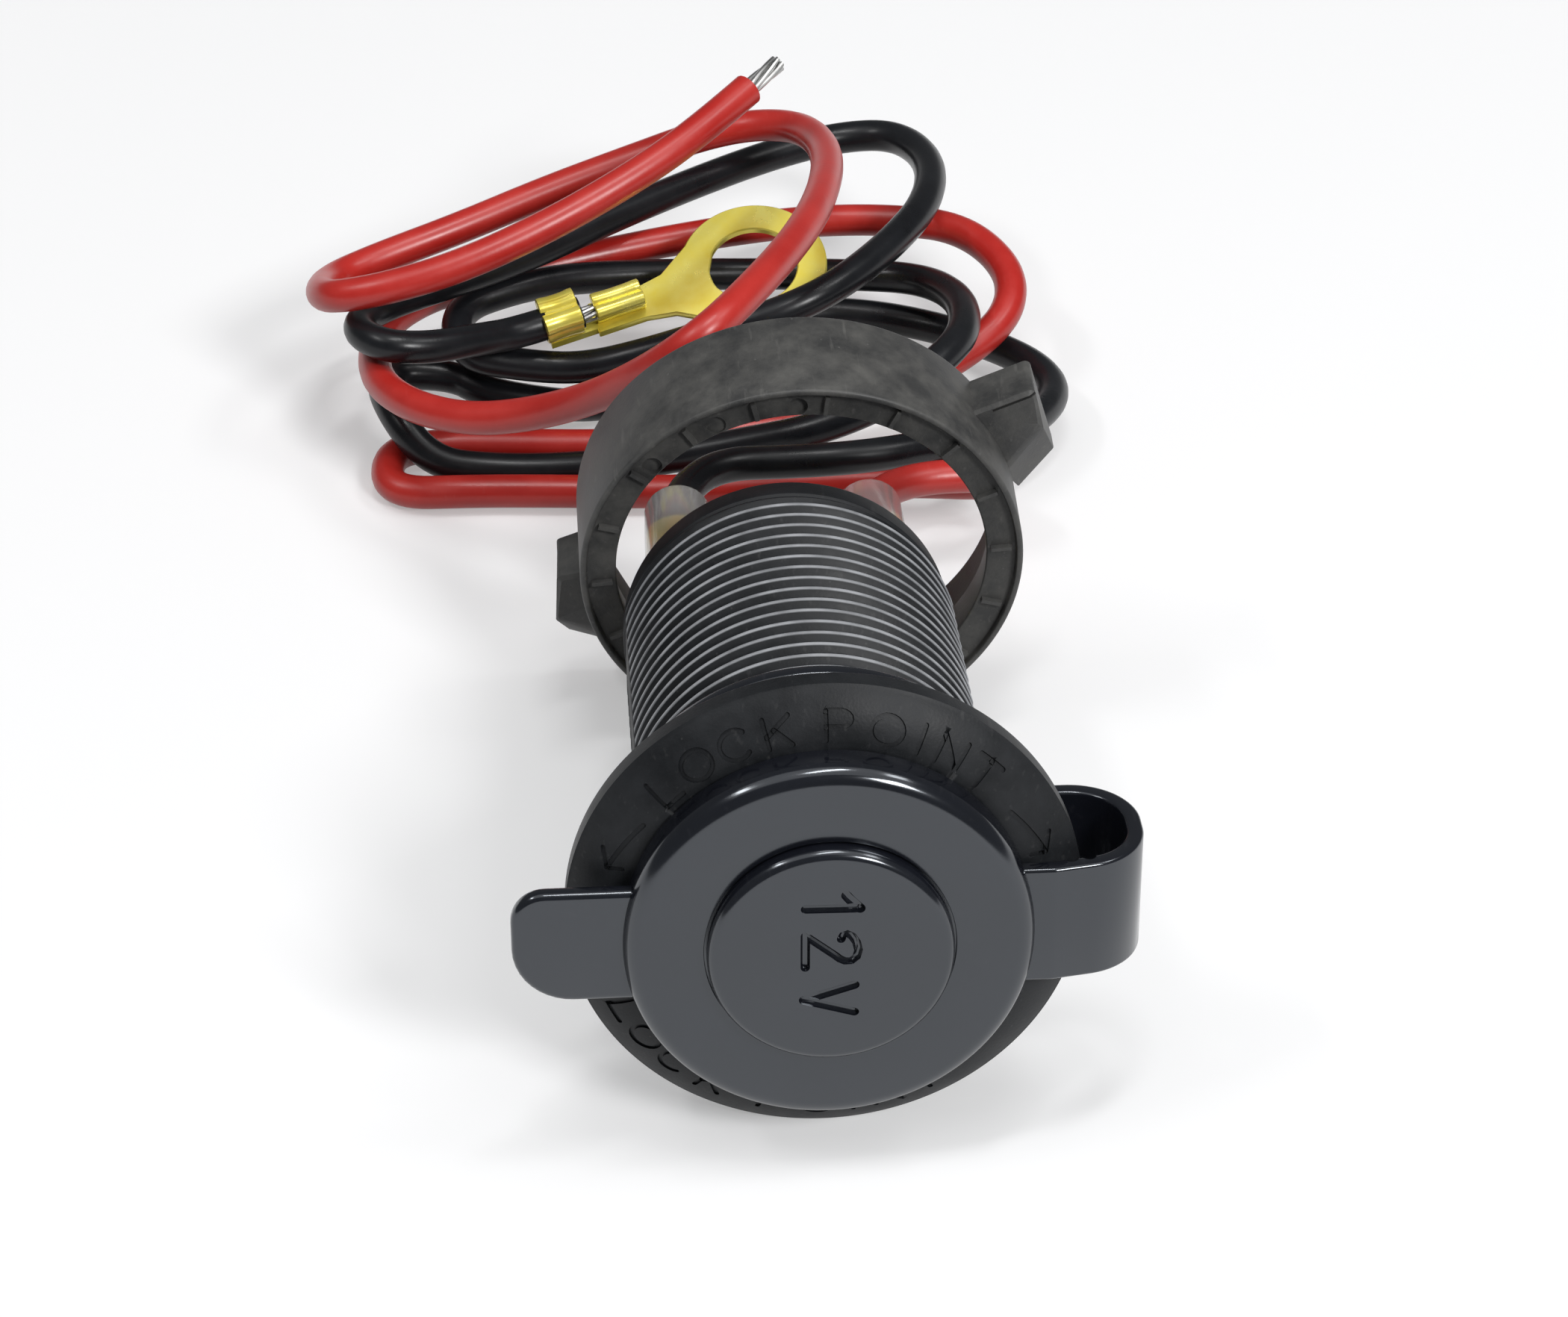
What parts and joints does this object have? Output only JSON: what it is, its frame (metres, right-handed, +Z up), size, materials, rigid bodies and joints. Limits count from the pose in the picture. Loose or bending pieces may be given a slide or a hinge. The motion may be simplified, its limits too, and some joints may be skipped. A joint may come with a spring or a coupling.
{
  "type": "panel power socket",
  "caption": "Round panel power socket with flange, ringed thread, strapped cap that opens, loose winged ring nut and red and black leads.",
  "frame": {"origin": "on the floor, below the middle of the socket, cap and nut taken together without the leads", "axes": "+Z up, +Y to the rear of the socket as it lies, +X to the right of the cap as seen from the front"},
  "size_m": [0.0717, 0.133, 0.0392],
  "materials": {
    "black_body": "fine matt grain",
    "soft_black": "smooth satin",
    "plated_steel": "bright plated",
    "brown_board": "matt",
    "brass": "bright pressed",
    "clear_sleeve": "clear",
    "red_insulation": "satin",
    "black_insulation": "satin",
    "tinned_copper": "dull bright"
  },
  "bodies": {
    "socket": {"socket_body": "black_body", "contact_sleeve": "plated_steel", "insulating_disc": "brown_board", "centre_bush": "brown_board", "centre_contact": "brass", "centre_rivet": "brass", "earth_rivet": "brass", "live_blade": "brass", "earth_blade": "brass", "live_connector": "brass", "earth_connector": "brass", "live_sleeve": "clear_sleeve", "earth_sleeve": "clear_sleeve", "cap_strap": "soft_black", "ring_nut": "black_body", "red_wire": "red_insulation", "red_conductor": "tinned_copper", "black_wire": "black_insulation", "black_conductor": "tinned_copper", "ring_terminal": "brass"},
    "cap": {"cap": "soft_black"}
  },
  "joints": [
    {"name": "cap_hinge", "type": "hinge", "parent": "socket", "child": "cap", "pos_m": [0.0191, -0.02884, 0.02008], "axis": [0, 0.1404, 0.9901], "range_deg": [0, 140], "deforming": ["cap_strap"]}
  ]
}
